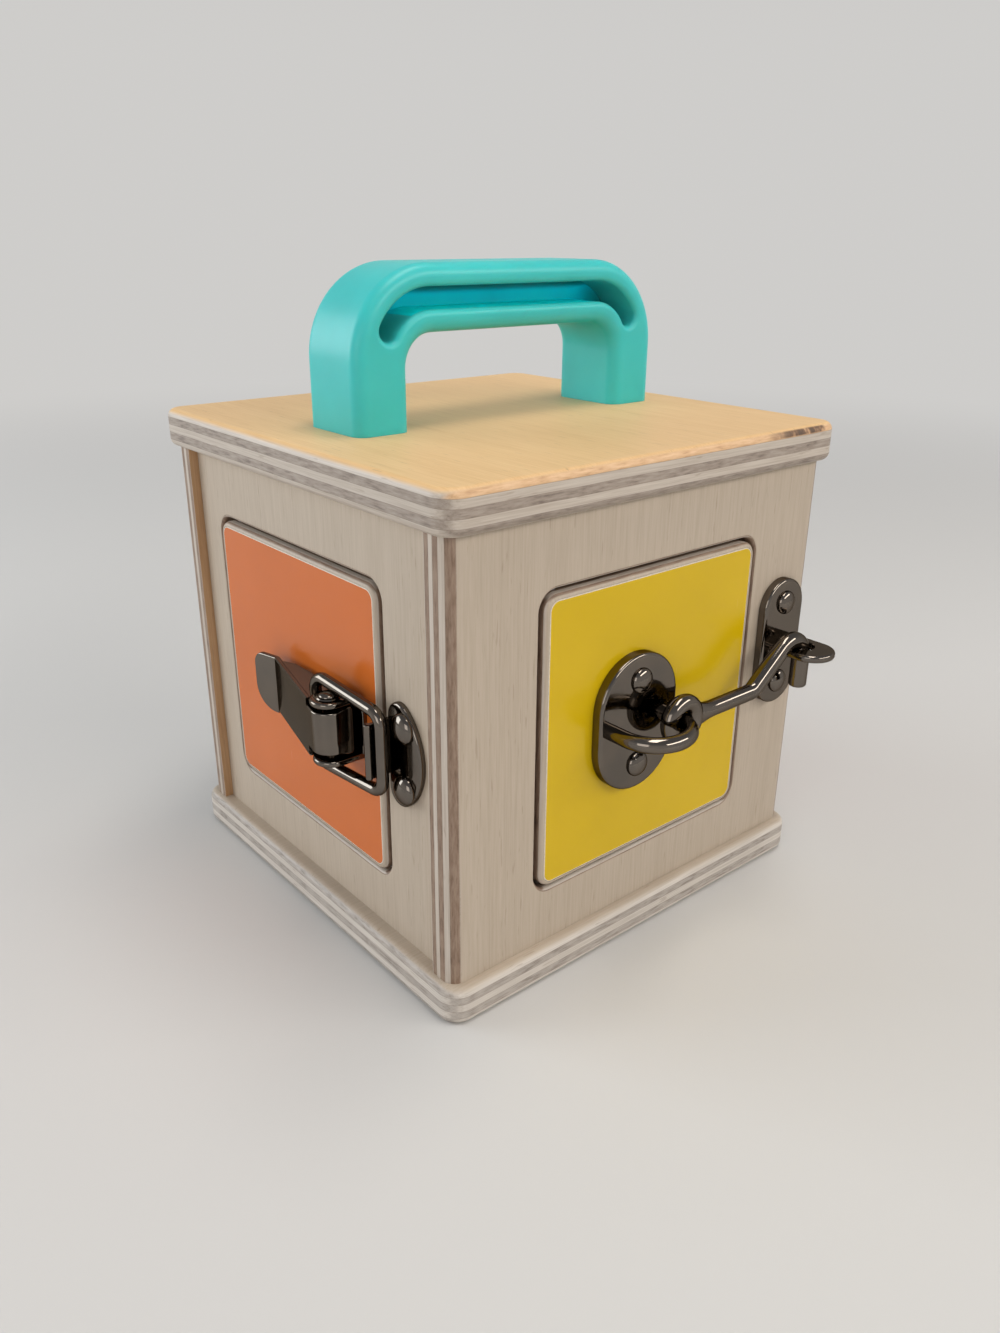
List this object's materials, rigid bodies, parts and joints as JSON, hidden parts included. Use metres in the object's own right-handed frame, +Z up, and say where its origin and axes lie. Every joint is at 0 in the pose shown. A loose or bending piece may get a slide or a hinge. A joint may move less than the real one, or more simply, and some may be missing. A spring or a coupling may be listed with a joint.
{
  "type": "lock box",
  "caption": "Wooden lock box with a carrying handle and coloured doors on hidden pins, held by a cabin hook, a toggle latch, a barrel bolt and a turn button.",
  "frame": {"origin": "centre of the base board's underside, on the surface that the box stands on", "axes": "+Z up, -Y out of the front door with the cabin hook, -X out of the left door with the toggle latch"},
  "size_m": [0.1745, 0.1897, 0.2],
  "materials": {
    "varnished_ply": "satin varnish",
    "birch_ply": "fine sanded, matt",
    "turquoise_plastic": "satin moulded",
    "yellow_facing": "satin gloss",
    "orange_facing": "satin gloss",
    "blue_facing": "satin gloss",
    "red_facing": "satin gloss",
    "black_nickel": "polished dark nickel",
    "zinc_steel": "zinc plated"
  },
  "bodies": {
    "box": {"base_board": "birch_ply", "top_board": "varnished_ply", "handle": "turquoise_plastic", "handle_screw_left": "zinc_steel", "handle_screw_right": "zinc_steel", "front_panel": "birch_ply", "left_panel": "birch_ply", "back_panel": "birch_ply", "right_panel": "birch_ply", "front_stop": "birch_ply", "left_stop": "birch_ply", "back_stop": "birch_ply", "right_stop": "birch_ply", "catch_plate": "black_nickel", "catch_plate_screw_upper": "black_nickel", "catch_plate_screw_lower": "black_nickel", "toggle_strike": "black_nickel", "toggle_strike_screw_upper": "black_nickel", "toggle_strike_screw_lower": "black_nickel", "bolt_keeper": "black_nickel", "bolt_keeper_screw_upper": "black_nickel", "bolt_keeper_screw_lower": "black_nickel", "turn_plate": "black_nickel", "turn_plate_screw_upper": "black_nickel", "turn_plate_screw_lower": "black_nickel", "turn_pin": "black_nickel"},
    "front_door": {"front_door": "birch_ply", "front_facing": "yellow_facing", "front_pin_upper": "zinc_steel", "front_pin_lower": "zinc_steel", "hook_plate": "black_nickel", "hook_staple": "black_nickel", "hook_plate_screw_upper": "black_nickel", "hook_plate_screw_lower": "black_nickel"},
    "cabin_hook": {"cabin_hook": "black_nickel"},
    "left_door": {"left_door": "birch_ply", "left_facing": "orange_facing", "left_pin_upper": "zinc_steel", "left_pin_lower": "zinc_steel", "toggle_base": "black_nickel", "toggle_base_screw_rear": "black_nickel", "toggle_base_screw_front": "black_nickel", "lever_pin": "black_nickel"},
    "toggle_lever": {"toggle_lever": "black_nickel"},
    "toggle_bail": {"toggle_bail": "black_nickel"},
    "back_door": {"back_door": "birch_ply", "back_facing": "blue_facing", "back_pin_upper": "zinc_steel", "back_pin_lower": "zinc_steel", "bolt_plate": "black_nickel", "bolt_plate_screw_upper": "black_nickel", "bolt_plate_screw_lower": "black_nickel"},
    "sliding_bolt": {"sliding_bolt": "black_nickel", "bolt_knob": "black_nickel"},
    "right_door": {"right_door": "birch_ply", "right_facing": "red_facing", "right_pin_upper": "zinc_steel", "right_pin_lower": "zinc_steel"},
    "turn_button": {"turn_button": "black_nickel"}
  },
  "joints": [
    {"name": "front_door_hinge", "type": "hinge", "parent": "box", "child": "front_door", "pos_m": [-0.0375, -0.07, 0.076], "axis": [0, 0, -1], "range_deg": [0, 105]},
    {"name": "left_door_hinge", "type": "hinge", "parent": "box", "child": "left_door", "pos_m": [-0.068, 0.0448, 0.076], "axis": [0, 0, -1], "range_deg": [0, 105]},
    {"name": "back_door_hinge", "type": "hinge", "parent": "box", "child": "back_door", "pos_m": [0.0375, 0.07, 0.076], "axis": [0, 0, -1], "range_deg": [0, 105]},
    {"name": "right_door_hinge", "type": "hinge", "parent": "box", "child": "right_door", "pos_m": [0.068, -0.0448, 0.076], "axis": [0, 0, -1], "range_deg": [0, 105]},
    {"name": "hook_lift", "type": "hinge", "parent": "front_door", "child": "cabin_hook", "pos_m": [0.0024, -0.085, 0.076], "axis": [0, -1, 0], "range_deg": [0, 95]},
    {"name": "lever_swing", "type": "hinge", "parent": "left_door", "child": "toggle_lever", "pos_m": [-0.0816, -0.027, 0.0771], "axis": [0, 0, 1], "range_deg": [0, 140]},
    {"name": "bail_swing", "type": "hinge", "parent": "toggle_lever", "child": "toggle_bail", "pos_m": [-0.0804, -0.018, 0.0771], "axis": [0, 0, 1], "range_deg": [-140, 0]},
    {"name": "bolt_slide", "type": "slide", "parent": "back_door", "child": "sliding_bolt", "axis": [1, 0, 0], "range_m": [0, 0.02]},
    {"name": "turn_button_spin", "type": "hinge", "parent": "box", "child": "turn_button", "pos_m": [0.0816, 0.0525, 0.076], "axis": [1, 0, 0], "range_deg": [-90, 90]}
  ],
  "couplings": [
    {"joint": "bail_swing", "follows": "lever_swing", "ratio": -1}
  ]
}
